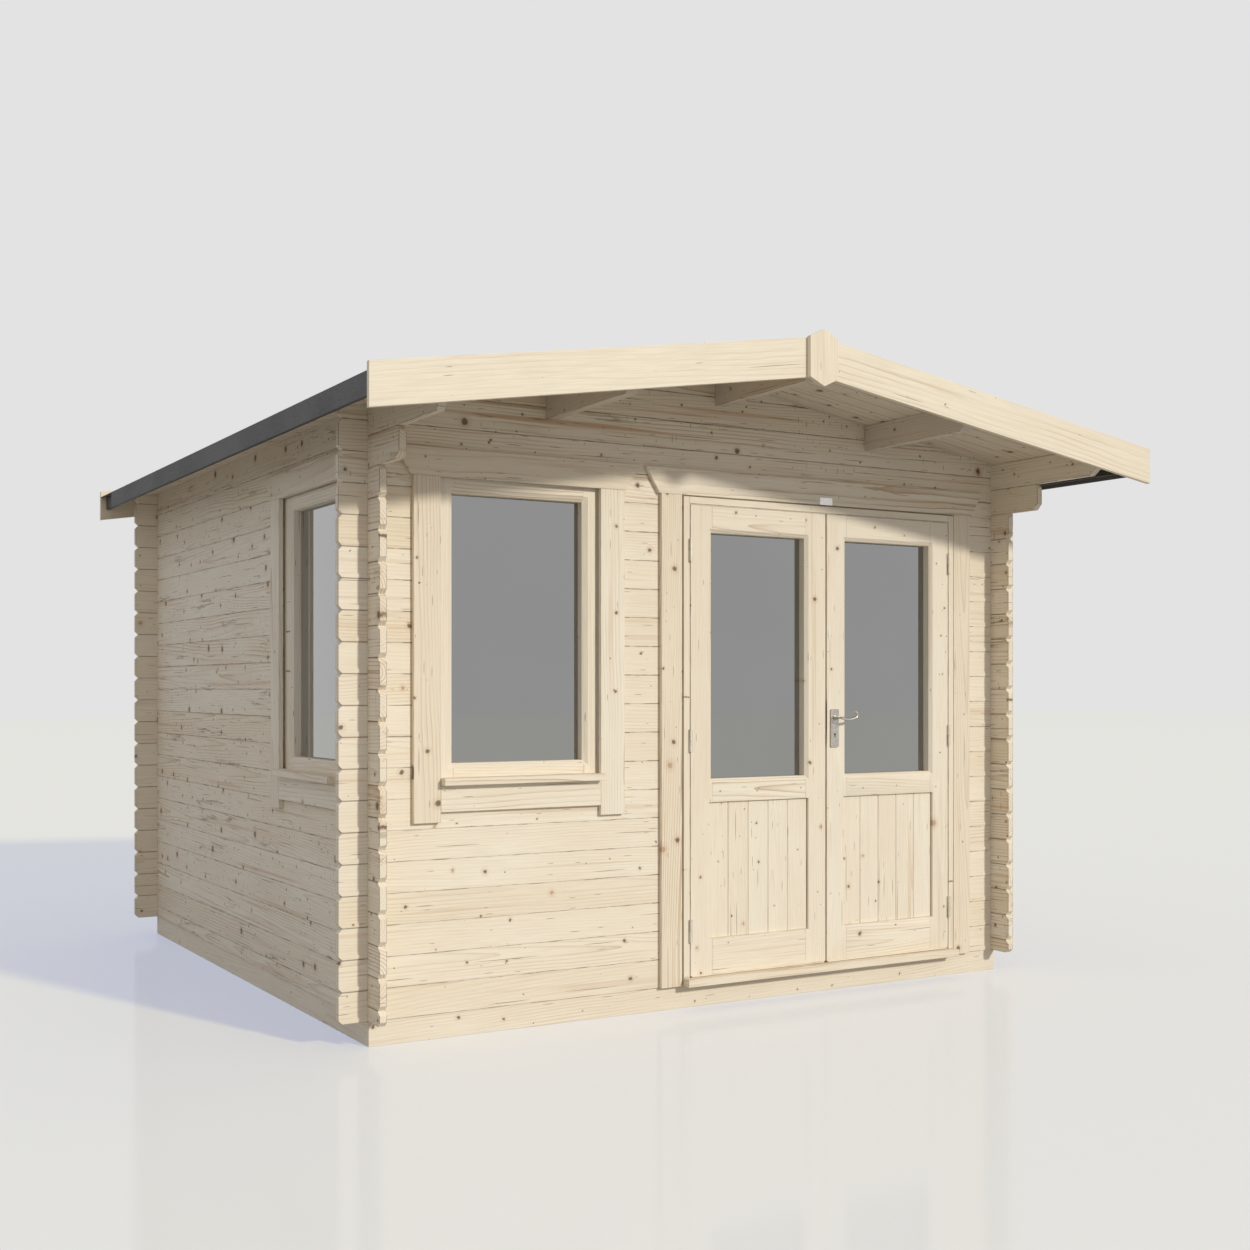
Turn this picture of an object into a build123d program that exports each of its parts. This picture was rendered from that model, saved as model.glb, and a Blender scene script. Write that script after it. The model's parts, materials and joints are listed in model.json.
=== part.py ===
from build123d import *
import os
from math import ceil, cos, radians, tan

# Millimetres. +X is right, -Y is the front, +Z is up, and the ground is at zero.

# Log walls
wall_depth = 2980.0  # outside faces of the front and back walls
log_thickness = 28.0
log_pitch = 112.0  # height of one course
log_end_projection = 110.0  # log ends past the crossing wall
log_end_chamfer = 16.0
top_log_overhang = 285.0  # top side log, ahead of the front wall
top_log_bevel = 24.0
joint_gap = 0.4  # hairline between two courses
notch_gap = 0.2  # hairline round a notch
fit_gap = 0.3  # hairline between pieces that bear on each other
overrun = 50.0  # cuts run this far past what they cut

# Places of the openings along the walls
left_pier = 167.0  # front wall corner to the window trim
head_spacing = 22.5  # between the tops of the two head boards
right_pier = 172.5  # door trim to the front wall corner
side_pier = 155.0  # front wall corner to the side window's trim

# Base and floor
base_height = 91.0
base_inset = 5.0  # base ring behind the wall faces
bearer_width = 45.0
joist_width = 45.0
joist_count = 5
floor_thickness = 19.0
floor_margin = 6.0  # open edge round the floor boards

# Roof
roof_pitch = 8.9  # degrees
front_overhang = 639.0  # front wall face to the back of the barge boards
back_overhang = 115.0
eave_overhang = 253.0  # side wall face to the edge of the covering
roof_board_thickness = 19.0
covering_thickness = 3.0
covering_drip = 27.5  # covering past the fascia
eave_strip_depth = 77.0  # strip down the eave, from the top of the covering
eave_strip_back_gap = 240.0  # strip, short of the back barge boards
fascia_thickness = 18.0
fascia_depth = 64.0
purlin_width = 44.0
purlin_depth = 102.0
side_purlin_offset = 770.0
purlin_bevel_length = 55.0
purlin_bevel_height = 40.0
barge_thickness = 19.0
barge_depth = 146.0  # plumb
barge_rise = 51.0  # barge top above the underside of the roof boards
finial_width = 128.0
finial_height = 210.0
finial_point = 30.0
finial_rise = 24.0  # above the barge peak
finial_thickness = 20.0

# Boards round the openings
trim_thickness = 19.0
head_height = 104.0
head_overhang = 8.0
head_splay = 65.0

# Windows
window_bottom = 920.0  # underside of the frame
window_clear_width = 659.0  # between the frame's jambs
window_jamb_width = 30.0
window_bottom_member = 20.0
window_trim_width = 106.0
window_reveal = 4.0  # jamb left showing beside the trim
window_trim_drop = 135.0  # side trims below the frame
window_setback = 10.0  # frame face behind the wall face
window_frame_depth = 60.0
sash_gap = 2.0
sash_width = 55.0
sash_thickness = 56.0
sash_bevel = 20.0
sash_bevel_depth = 14.0
glass_setback = 44.0  # glass behind the face that holds it
glass_thickness = 4.0
window_sill_height = 26.0
window_sill_projection = 55.0
apron_height = 97.0

# Doors
leaf_width = 673.0
leaf_height = 1872.0
leaf_thickness = 54.0
leaf_proud = 23.0  # leaf face ahead of the wall face
leaf_gap = 5.0  # round the leaves
leaf_floor_gap = 7.0
meeting_gap = 8.0
stile_width = 88.0
top_rail_height = 91.0
middle_rail_height = 78.0
bottom_rail_height = 142.0
panel_height = 545.0
panel_setback = 12.0
panel_thickness = 20.0
panel_board_count = 5
panel_board_chamfer = 3.0
leaf_bevel = 15.0  # round the glass, inside the stiles and rails
leaf_bevel_depth = 11.0
jamb_width = 49.0
jamb_depth = 74.0
door_reveal = 27.0  # face of the frame beside the leaves
frame_groove = 6.0  # between the frame's face and the trim
door_trim_width = 96.0
stop_width = 15.0
stop_thickness = 15.0
door_sill_thickness = 30.0
door_sill_projection = 60.0
frame_lap = 22.0  # frame behind the head board
settling_gap = 10.0  # over the frames, for the logs to shrink into

# Hinges
hinge_end_distance = 180.0  # hinge centre from the end of the leaf
knuckle_height = 45.0
knuckle_radius = 6.5
hinge_pin_radius = 3.5
hinge_pin_gap = 0.05
hinge_stand_off = 7.0  # hinge axis ahead of the leaf face
knuckle_gap = 0.5  # between the two knuckles
foot_inset = 1.0  # foot of a knuckle beside the hinge axis

# Door handle
handle_backset = 38.0  # spindle from the meeting edge
handle_height = 1148.0
plate_width = 42.0
plate_height = 160.0
plate_thickness = 6.0
plate_corner_radius = 6.0
plate_top_above_spindle = 36.0
keyhole_drop = 70.0  # below the spindle
keyhole_radius = 4.5
keyhole_slot_length = 14.0
keyhole_slot_width = 4.0
spindle_radius = 5.0
spindle_gap = 0.05
hub_radius = 9.5
hub_length = 9.0
lever_stand_off = 42.0  # grip centre from the plate
lever_radius = 5.5
lever_length = 78.0
lever_droop = 7.0
lever_curl_radius = 13.0
lever_curl_angle = 165.0  # degrees

# Sizes that follow from the ones above
half_log = log_pitch / 2
log_height = log_pitch - joint_gap
notch_width = log_thickness + 2 * notch_gap
notch_height = half_log + 2 * notch_gap
window_frame_width = window_clear_width + 2 * window_jamb_width
window_trim_inside = window_clear_width + 2 * window_reveal
window_trim_outside = window_trim_inside + 2 * window_trim_width
door_clear_width = 2 * leaf_width + meeting_gap + 2 * leaf_gap
door_frame_width = door_clear_width + 2 * jamb_width
door_face_width = door_clear_width + 2 * door_reveal
door_trim_inside = door_face_width + 2 * frame_groove
door_trim_outside = door_trim_inside + 2 * door_trim_width
head_reach = head_overhang + head_splay
door_reach = head_spacing + head_reach + door_trim_outside + right_pier
wall_width = left_pier + window_trim_outside + head_reach + door_reach

door_sill_top = base_height + fit_gap + door_sill_thickness
leaf_bottom = door_sill_top + leaf_floor_gap
leaf_top = leaf_bottom + leaf_height
frame_head_bottom = leaf_top + leaf_gap
head_bottom = frame_head_bottom + door_reveal + frame_groove
head_top = head_bottom + head_height
frame_top = head_bottom + frame_lap
opening_top = frame_top + settling_gap

sash_bottom = window_bottom + window_bottom_member + sash_gap
sash_top = head_bottom + sash_gap
sash_outside_width = window_clear_width - 2 * sash_gap
sash_outside_height = sash_top - sash_bottom
sash_middle = (sash_bottom + sash_top) / 2
pane_width = sash_outside_width - 2 * sash_width
pane_height = sash_outside_height - 2 * sash_width

opening_width = leaf_width - 2 * stile_width
panel_bottom = leaf_bottom + bottom_rail_height
leaf_glass_bottom = panel_bottom + panel_height + middle_rail_height
leaf_glass_height = leaf_top - top_rail_height - leaf_glass_bottom
leaf_glass_middle = leaf_glass_bottom + leaf_glass_height / 2
leaf_pane_width = opening_width - 2 * leaf_bevel
leaf_pane_height = leaf_glass_height - 2 * leaf_bevel

side_joint = base_height + half_log  # top of the half log that starts a side wall
side_log_count = ceil((head_top - side_joint) / log_pitch)
top_log_bottom = side_joint + (side_log_count - 1) * log_pitch
eave_purlin_bottom = top_log_bottom + log_pitch
eave_underside = eave_purlin_bottom + log_pitch
roof_slope = tan(radians(roof_pitch))
ridge_underside = eave_underside + roof_slope * wall_width / 2
gable_log_count = ceil((ridge_underside - base_height) / log_pitch)
roof_board_rise = roof_board_thickness / cos(radians(roof_pitch))
covering_rise = covering_thickness / cos(radians(roof_pitch))
eave_x = wall_width / 2 + eave_overhang
fascia_x = eave_x - covering_drip
roof_front = wall_depth / 2 + front_overhang
roof_length = wall_depth + front_overhang + back_overhang

wall_left = -wall_width / 2
front_window_x = wall_left + left_pier + window_trim_outside / 2
door_x = wall_width / 2 - right_pier - door_trim_outside / 2
side_window_y = -wall_depth / 2 + side_pier + window_trim_outside / 2
left_leaf_x = door_x - (meeting_gap + leaf_width) / 2
right_leaf_x = door_x + (meeting_gap + leaf_width) / 2
hinge_reach = (door_clear_width - leaf_gap) / 2
hinge_heights = [
    leaf_bottom + hinge_end_distance,
    leaf_bottom + leaf_height / 2,
    leaf_top - hinge_end_distance,
]

# Wall faces seen from outside: local x to the right, local y up, local z outwards
front_face = Plane(origin=(0, -wall_depth / 2, 0), x_dir=(1, 0, 0), z_dir=(0, -1, 0))
back_face = Plane(origin=(0, wall_depth / 2, 0), x_dir=(-1, 0, 0), z_dir=(0, 1, 0))
left_face = Plane(origin=(wall_left, 0, 0), x_dir=(0, -1, 0), z_dir=(-1, 0, 0))
right_face = Plane(origin=(wall_width / 2, 0, 0), x_dir=(0, 1, 0), z_dir=(1, 0, 0))
front_window_face = front_face.shift_origin((front_window_x, -wall_depth / 2, 0))
side_window_face = left_face.shift_origin((wall_left, side_window_y, 0))


def roof_underside(x):
    """Height of the underside of the roof boards."""
    return ridge_underside - roof_slope * abs(x)


def roof_band(side, start, end, low, high):
    """Corners of a band along one slope, with its heights over the roof's underside."""
    return [
        (side * start, roof_underside(start) + low),
        (side * end, roof_underside(end) + low),
        (side * end, roof_underside(end) + high),
        (side * start, roof_underside(start) + high),
    ]


def gable_wall(face, openings):
    """Logs of a front or back wall, notched at the corners and round the purlins."""
    with BuildPart() as wall:
        with BuildSketch(face) as elevation:
            middles = [base_height + half_log + n * log_pitch for n in range(gable_log_count)]
            with Locations(*[(0, middle) for middle in middles]):
                Rectangle(wall_width + 2 * log_end_projection, log_height)
            chamfer(elevation.vertices(), log_end_chamfer)
            corner = (wall_width - log_thickness) / 2
            joints = [base_height + n * log_pitch for n in range(gable_log_count)]
            with Locations(*[(side * corner, joint) for side in (-1, 1) for joint in joints]):
                Rectangle(notch_width, notch_height, mode=Mode.SUBTRACT)
            for x in (-side_purlin_offset, 0, side_purlin_offset):
                with Locations((x, roof_underside(x) - purlin_depth - notch_gap)):
                    Rectangle(
                        purlin_width + 2 * notch_gap,
                        purlin_depth + overrun,
                        align=(Align.CENTER, Align.MIN),
                        mode=Mode.SUBTRACT,
                    )
            for x, bottom, width, top in openings:
                with Locations((x, bottom)):
                    Rectangle(width, top - bottom, align=(Align.CENTER, Align.MIN), mode=Mode.SUBTRACT)
            with BuildLine():
                reach = wall_width / 2 + log_end_projection + overrun
                eave = roof_underside(reach) - fit_gap
                ridge = ridge_underside - fit_gap
                Polyline((-reach, 0), (reach, 0), (reach, eave), (0, ridge), (-reach, eave), close=True)
            make_face(mode=Mode.INTERSECT)
        extrude(amount=-log_thickness)
    return wall.part.solids()


def corner_notches(first_joint, count):
    """Places of the notches in side logs, at both corners."""
    corner = (wall_depth - log_thickness) / 2
    joints = [first_joint + n * log_pitch for n in range(count)]
    return [(side * corner, joint) for side in (-1, 1) for joint in joints]


def side_wall(face, openings):
    """Logs of a side wall under its top log: a half log, then whole ones."""
    with BuildPart() as wall:
        with BuildSketch(face) as elevation:
            length = wall_depth + 2 * log_end_projection
            with Locations((0, base_height + half_log / 2)):
                Rectangle(length, half_log - joint_gap)
            middles = [side_joint + half_log + n * log_pitch for n in range(side_log_count - 1)]
            with Locations(*[(0, middle) for middle in middles]):
                Rectangle(length, log_height)
            chamfer(elevation.vertices(), log_end_chamfer)
            with Locations(*corner_notches(side_joint, side_log_count)):
                Rectangle(notch_width, notch_height, mode=Mode.SUBTRACT)
            for x, bottom, width, top in openings:
                with Locations((x, bottom)):
                    Rectangle(width, top - bottom, align=(Align.CENTER, Align.MIN), mode=Mode.SUBTRACT)
        extrude(amount=-log_thickness)
    return wall.part.solids()


def top_log(face, front, openings):
    """Top log of a side wall. It runs forward under the overhang; front is its local x sign."""
    with BuildPart() as log:
        with BuildSketch(face) as elevation:
            back_end = wall_depth / 2 + log_end_projection
            front_end = wall_depth / 2 + top_log_overhang
            with Locations((front * (front_end - back_end) / 2, top_log_bottom + half_log)):
                Rectangle(front_end + back_end, log_height)
            corners = elevation.vertices().sort_by(Axis.X, reverse=front > 0)
            front_corners = corners[:2].sort_by(Axis.Y)
            chamfer(front_corners[0], top_log_bevel)
            top_corners = elevation.vertices().group_by(Axis.Y)[-1]
            chamfer(top_corners.sort_by(Axis.X, reverse=front > 0)[0], log_end_chamfer)
            chamfer(elevation.vertices().sort_by(Axis.X, reverse=front > 0)[-2:], log_end_chamfer)
            with Locations(*corner_notches(top_log_bottom, 2)):
                Rectangle(notch_width, notch_height, mode=Mode.SUBTRACT)
            for x, bottom, width, top in openings:
                with Locations((x, bottom)):
                    Rectangle(width, top - bottom, align=(Align.CENTER, Align.MIN), mode=Mode.SUBTRACT)
        extrude(amount=-log_thickness)
    return log


def eave_purlin(face, front):
    """Log under the eave, from barge to barge, its top cut to the roof."""
    with BuildPart() as purlin:
        with BuildSketch(face) as elevation:
            front_end = roof_front - fit_gap
            back_end = wall_depth / 2 + back_overhang - fit_gap
            height = log_pitch + roof_slope * log_thickness
            middle = front * (front_end - back_end) / 2
            with Locations((middle, eave_purlin_bottom + joint_gap / 2)):
                Rectangle(front_end + back_end, height, align=(Align.CENTER, Align.MIN))
            corners = elevation.vertices().sort_by(Axis.X, reverse=front > 0)
            nose = corners[:2].sort_by(Axis.Y)[0]
            chamfer(nose, purlin_bevel_height, purlin_bevel_length)
            with Locations(*corner_notches(eave_purlin_bottom, 2)):
                Rectangle(notch_width, notch_height, mode=Mode.SUBTRACT)
        extrude(amount=-log_thickness)
        side = face.z_dir.X
        slope_normal = Vector(side * roof_slope, 0, 1)
        seat = (side * wall_width / 2, 0, eave_underside - fit_gap)
        split(bisect_by=Plane(origin=seat, z_dir=slope_normal), keep=Keep.BOTTOM)
    return purlin


def window_frame(face):
    """Two jambs, a head and a bottom member, butted together."""
    with BuildPart() as frame:
        with BuildSketch(face.offset(-window_setback)):
            side_middle = (window_clear_width + window_jamb_width) / 2
            with Locations((-side_middle, window_bottom), (side_middle, window_bottom)):
                Rectangle(window_jamb_width, frame_top - window_bottom, align=(Align.CENTER, Align.MIN))
            inside = window_clear_width - 2 * fit_gap
            with Locations((0, window_bottom)):
                Rectangle(inside, window_bottom_member, align=(Align.CENTER, Align.MIN))
            with Locations((0, frame_top)):
                sash_head = frame_top - sash_top - sash_gap
                Rectangle(inside, sash_head, align=(Align.CENTER, Align.MAX))
        extrude(amount=-window_frame_depth)
    return frame


def window_sash(face):
    """Sash with a bevel round the glass."""
    with BuildPart() as sash:
        sash_face = face.offset(-window_setback)
        with BuildSketch(sash_face):
            with Locations((0, sash_middle)):
                Rectangle(sash_outside_width, sash_outside_height)
                Rectangle(pane_width, pane_height, mode=Mode.SUBTRACT)
        extrude(amount=-sash_thickness)
        with BuildSketch(sash_face):
            with Locations((0, sash_middle)):
                Rectangle(pane_width + 2 * sash_bevel, pane_height + 2 * sash_bevel)
        with BuildSketch(sash_face.offset(-sash_bevel_depth)):
            with Locations((0, sash_middle)):
                Rectangle(pane_width, pane_height)
        loft(mode=Mode.SUBTRACT)
    return sash


def window_glass(face):
    """Pane in the sash."""
    with BuildPart() as glass:
        with BuildSketch(face.offset(-window_setback - glass_setback)):
            with Locations((0, sash_middle)):
                Rectangle(pane_width - 2 * fit_gap, pane_height - 2 * fit_gap)
        extrude(amount=-glass_thickness)
    return glass


def head_board_corners(outside_width):
    """Corners of a head board: wider at the top, with splayed ends."""
    low = outside_width / 2 + head_overhang
    high = low + head_splay
    bottom = head_bottom + fit_gap
    return [(-low, bottom), (low, bottom), (high, head_top), (-high, head_top)]


def window_trim(face):
    """Side boards, head board and the apron under the sill."""
    with BuildPart() as trim:
        with BuildSketch(face.offset(fit_gap)):
            side_middle = (window_trim_inside + window_trim_width) / 2
            bottom = window_bottom - window_trim_drop
            with Locations((-side_middle, bottom), (side_middle, bottom)):
                Rectangle(window_trim_width, head_bottom - bottom, align=(Align.CENTER, Align.MIN))
            with Locations((0, window_bottom - fit_gap)):
                width = window_trim_inside - 2 * fit_gap
                Rectangle(width, apron_height, align=(Align.CENTER, Align.MAX))
            with BuildLine():
                Polyline(*head_board_corners(window_trim_outside), close=True)
            make_face()
        extrude(amount=trim_thickness)
    return trim


def window_sill(face):
    """Sill between the side boards, bearing on the notched log."""
    with BuildPart() as sill:
        with BuildSketch(face.offset(-window_setback + fit_gap)):
            with Locations((0, window_bottom)):
                width = window_trim_inside - 2 * fit_gap
                Rectangle(width, window_sill_height, align=(Align.CENTER, Align.MIN))
        extrude(amount=window_setback + window_sill_projection)
    return sill


def door_leaf(x, handle_x):
    """Framed leaf with a bevelled glass opening over a panel opening."""
    outer = front_face.shift_origin((x, -wall_depth / 2, 0)).offset(leaf_proud)
    with BuildPart() as leaf:
        with BuildSketch(outer):
            with Locations((0, leaf_bottom)):
                Rectangle(leaf_width, leaf_height, align=(Align.CENTER, Align.MIN))
            with Locations((0, panel_bottom)):
                Rectangle(opening_width, panel_height, align=(Align.CENTER, Align.MIN), mode=Mode.SUBTRACT)
            with Locations((0, leaf_glass_middle)):
                Rectangle(leaf_pane_width, leaf_pane_height, mode=Mode.SUBTRACT)
        extrude(amount=-leaf_thickness)
        with BuildSketch(outer):
            with Locations((0, leaf_glass_middle)):
                Rectangle(opening_width, leaf_glass_height)
        with BuildSketch(outer.offset(-leaf_bevel_depth)):
            with Locations((0, leaf_glass_middle)):
                Rectangle(leaf_pane_width, leaf_pane_height)
        loft(mode=Mode.SUBTRACT)
        if handle_x is not None:
            with BuildSketch(outer):
                with Locations((handle_x - x, handle_height)):
                    Circle(spindle_radius + spindle_gap)
            extrude(amount=-leaf_thickness, mode=Mode.SUBTRACT)
    return leaf


def leaf_glass(x):
    """Pane of a door leaf."""
    face = front_face.shift_origin((x, -wall_depth / 2, 0)).offset(leaf_proud - glass_setback)
    with BuildPart() as glass:
        with BuildSketch(face):
            with Locations((0, leaf_glass_middle)):
                Rectangle(leaf_pane_width - 2 * fit_gap, leaf_pane_height - 2 * fit_gap)
        extrude(amount=-glass_thickness)
    return glass


def leaf_panel(x):
    """Upright boards of a door leaf, with V joints on both faces."""
    board_pitch = (opening_width - fit_gap) / panel_board_count
    middle_y = -wall_depth / 2 - leaf_proud + panel_setback + panel_thickness / 2
    with BuildPart() as panel:
        with BuildSketch(Plane.XY.offset(panel_bottom + fit_gap)) as boards:
            with Locations((x, middle_y)):
                with GridLocations(board_pitch, panel_thickness, panel_board_count, 1):
                    Rectangle(board_pitch - fit_gap, panel_thickness)
            chamfer(boards.vertices(), panel_board_chamfer)
        extrude(amount=panel_height - 2 * fit_gap)
    return panel


def knuckles(hinge_x, foot_side, leaf_half):
    """Hinge halves up one edge: the leaf's have a bore, and the frame's carry the pins."""
    axis_y = -wall_depth / 2 - leaf_proud - hinge_stand_off
    foot_width = knuckle_radius - foot_inset
    foot_middle = foot_side * (foot_inset + foot_width / 2)
    foot_depth = hinge_stand_off - fit_gap
    bottoms = [height if leaf_half else height - knuckle_height for height in hinge_heights]
    with BuildPart() as hinge:
        for bottom in bottoms:
            with BuildSketch(Plane.XY.offset(bottom)):
                with Locations((hinge_x, axis_y)):
                    Circle(knuckle_radius)
                with Locations((hinge_x + foot_middle, axis_y)):
                    Rectangle(foot_width, foot_depth, align=(Align.CENTER, Align.MIN))
                if leaf_half:
                    with Locations((hinge_x, axis_y)):
                        Circle(hinge_pin_radius + hinge_pin_gap, mode=Mode.SUBTRACT)
            extrude(amount=knuckle_height - knuckle_gap)
            if not leaf_half:
                with BuildSketch(Plane.XY.offset(bottom)):
                    with Locations((hinge_x, axis_y)):
                        Circle(hinge_pin_radius)
                extrude(amount=2 * knuckle_height - knuckle_gap)
    return hinge


# Base ring of four bearers
with BuildPart() as base_frame:
    base_width = wall_width - 2 * base_inset
    base_depth = wall_depth - 2 * base_inset
    with BuildSketch():
        with GridLocations(base_width, base_depth - bearer_width, 1, 2):
            Rectangle(base_width, bearer_width)
        inside_depth = base_depth - 2 * bearer_width - 2 * fit_gap
        with GridLocations(base_width - bearer_width, base_depth, 2, 1):
            Rectangle(bearer_width, inside_depth)
    extrude(amount=base_height)

# Joists between the front and back bearers
with BuildPart() as floor_joists:
    joist_spacing = (base_width - 2 * bearer_width) / (joist_count + 1)
    with BuildSketch():
        with GridLocations(joist_spacing, base_depth, joist_count, 1):
            Rectangle(joist_width, inside_depth)
    extrude(amount=base_height)

# Floor boards, cut back at the door sill
frame_back = leaf_proud - jamb_depth  # back of the door frame, from the wall face outwards
with BuildPart() as floor_boards:
    with BuildSketch(Plane.XY.offset(base_height + fit_gap)):
        floor_width = wall_width - 2 * log_thickness - 2 * floor_margin
        Rectangle(floor_width, wall_depth - 2 * log_thickness - 2 * floor_margin)
        with Locations((door_x, -wall_depth / 2)):
            Rectangle(
                door_frame_width + 2 * fit_gap,
                fit_gap - frame_back,
                align=(Align.CENTER, Align.MIN),
                mode=Mode.SUBTRACT,
            )
    extrude(amount=floor_thickness)

# Front wall logs, sorted by what they pass
window_hole = (
    front_window_x,
    window_bottom - fit_gap,
    window_frame_width + 2 * fit_gap,
    opening_top,
)
door_hole = (door_x, base_height, door_frame_width + 2 * fit_gap, opening_top)
front_logs = gable_wall(front_face, [window_hole, door_hole])


def over_openings(log):
    """True of a log that passes over the openings."""
    return log.bounding_box().max.Z > opening_top


low_logs = front_logs.filter_by(lambda log: not over_openings(log))
left_logs = low_logs.filter_by(lambda log: log.bounding_box().max.X < door_x)
with BuildPart() as front_wall_over_openings:
    add(front_logs.filter_by(over_openings))
with BuildPart() as front_wall_right_end:
    add(low_logs.filter_by(lambda log: log.bounding_box().min.X > door_x))
with BuildPart() as front_wall_left_end:
    add(left_logs.filter_by(lambda log: log.bounding_box().max.X < front_window_x))
with BuildPart() as front_wall_between_openings:
    add(left_logs.filter_by(lambda log: log.bounding_box().min.X > front_window_x))
with BuildPart() as front_wall_under_window:
    add(
        left_logs.filter_by(
            lambda log: log.bounding_box().min.X < front_window_x < log.bounding_box().max.X
        )
    )

# Back wall
with BuildPart() as back_wall:
    add(gable_wall(back_face, []))

# Side walls, the left one with a window
side_window_hole = (
    -side_window_y,
    window_bottom - fit_gap,
    window_frame_width + 2 * fit_gap,
    opening_top,
)
left_wall_logs = side_wall(left_face, [side_window_hole])
with BuildPart() as left_wall_front_end:
    add(left_wall_logs.filter_by(lambda log: log.bounding_box().max.Y < side_window_y))
with BuildPart() as left_wall_back_end:
    add(left_wall_logs.filter_by(lambda log: log.bounding_box().min.Y > side_window_y))
with BuildPart() as left_wall_under_window:
    add(
        left_wall_logs.filter_by(
            lambda log: log.bounding_box().min.Y < side_window_y < log.bounding_box().max.Y
        )
    )
with BuildPart() as right_wall:
    add(side_wall(right_face, []))
left_wall_top_log = top_log(left_face, 1, [side_window_hole])
right_wall_top_log = top_log(right_face, -1, [])
left_eave_purlin = eave_purlin(left_face, 1)
right_eave_purlin = eave_purlin(right_face, -1)

# Ridge and side purlins, from barge to barge
roof_plane = Plane.XZ.offset(roof_front - fit_gap)
roof_run = roof_length - 2 * fit_gap
with BuildPart() as roof_purlins:
    with BuildSketch(roof_plane):
        for x in (-side_purlin_offset, 0, side_purlin_offset):
            with Locations((x, roof_underside(x) - purlin_depth)):
                Rectangle(purlin_width, purlin_depth + overrun, align=(Align.CENTER, Align.MIN))
        with BuildLine():
            eave = roof_underside(fascia_x) - fit_gap
            ridge = ridge_underside - fit_gap
            Polyline(
                (-fascia_x, 0),
                (fascia_x, 0),
                (fascia_x, eave),
                (0, ridge),
                (-fascia_x, eave),
                close=True,
            )
        make_face(mode=Mode.INTERSECT)
    extrude(amount=-roof_run)
    nose = fit_gap - roof_front
    for x in (-side_purlin_offset, 0, side_purlin_offset):
        low = roof_underside(x) - purlin_depth
        with BuildSketch(Plane.YZ.offset(x)):
            with BuildLine():
                Polyline(
                    (nose, low),
                    (nose + purlin_bevel_length, low),
                    (nose, low + purlin_bevel_height),
                    close=True,
                )
            make_face()
        extrude(amount=purlin_width, both=True, mode=Mode.SUBTRACT)


def roof_boards(side):
    """Boards of one slope."""
    with BuildPart() as boards:
        with BuildSketch(roof_plane):
            end = fascia_x - fascia_thickness - fit_gap
            with BuildLine():
                Polyline(*roof_band(side, fit_gap, end, 0, roof_board_rise), close=True)
            make_face()
        extrude(amount=-roof_run)
    return boards


left_roof_boards = roof_boards(-1)
right_roof_boards = roof_boards(1)

# Covering over both slopes, with a strip down each eave
with BuildPart() as roof_covering:
    with BuildSketch(roof_plane):
        low = roof_board_rise + fit_gap
        for side in (-1, 1):
            with BuildLine():
                Polyline(*roof_band(side, fit_gap, eave_x, low, low + covering_rise), close=True)
            make_face()
    extrude(amount=-roof_run)
    with BuildSketch(roof_plane):
        strip_inside = eave_x - covering_thickness
        bottom = roof_underside(eave_x) + low + covering_rise - eave_strip_depth
        for side in (-1, 1):
            with BuildLine():
                Polyline(
                    (side * strip_inside, roof_underside(strip_inside) + roof_board_rise),
                    (side * eave_x, roof_underside(eave_x) + roof_board_rise),
                    (side * eave_x, bottom),
                    (side * strip_inside, bottom),
                    close=True,
                )
            make_face()
    extrude(amount=eave_strip_back_gap - roof_run)

# Fascias that close the ends of the roof boards
with BuildPart() as eave_fascias:
    with BuildSketch(roof_plane):
        fascia_inside = fascia_x - fascia_thickness
        bottom = roof_underside(fascia_x) + roof_board_rise - fascia_depth
        for side in (-1, 1):
            with BuildLine():
                Polyline(
                    (side * fascia_inside, roof_underside(fascia_inside) + roof_board_rise),
                    (side * fascia_x, roof_underside(fascia_x) + roof_board_rise),
                    (side * fascia_x, bottom),
                    (side * fascia_inside, bottom),
                    close=True,
                )
            make_face()
    extrude(amount=-roof_run)


def barge_boards(plane):
    """Pair of barge boards with plumb ends, on the side of the plane that it faces."""
    with BuildPart() as barges:
        with BuildSketch(plane):
            for side in (-1, 1):
                with BuildLine():
                    band = roof_band(side, fit_gap, eave_x, barge_rise - barge_depth, barge_rise)
                    Polyline(*band, close=True)
                make_face()
        extrude(amount=barge_thickness)
    return barges


front_barge_plane = front_face.offset(front_overhang)
back_barge_plane = back_face.offset(back_overhang)
front_barge_boards = barge_boards(front_barge_plane)
back_barge_boards = barge_boards(back_barge_plane)

# Finials over the joints of the barge boards
with BuildPart() as finials:
    for plane in (front_barge_plane, back_barge_plane):
        with BuildSketch(plane.offset(barge_thickness + fit_gap)):
            top = ridge_underside + barge_rise + finial_rise
            bottom = top - finial_height
            half = finial_width / 2
            with BuildLine():
                Polyline(
                    (0, top),
                    (half, top - finial_point),
                    (half, bottom + finial_point),
                    (0, bottom),
                    (-half, bottom + finial_point),
                    (-half, top - finial_point),
                    close=True,
                )
            make_face()
        extrude(amount=finial_thickness)

# Windows
front_window_frame = window_frame(front_window_face)
front_window_sash = window_sash(front_window_face)
front_window_glass = window_glass(front_window_face)
front_window_trim = window_trim(front_window_face)
front_window_sill = window_sill(front_window_face)
side_window_frame = window_frame(side_window_face)
side_window_sash = window_sash(side_window_face)
side_window_glass = window_glass(side_window_face)
side_window_trim = window_trim(side_window_face)
side_window_sill = window_sill(side_window_face)

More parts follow.
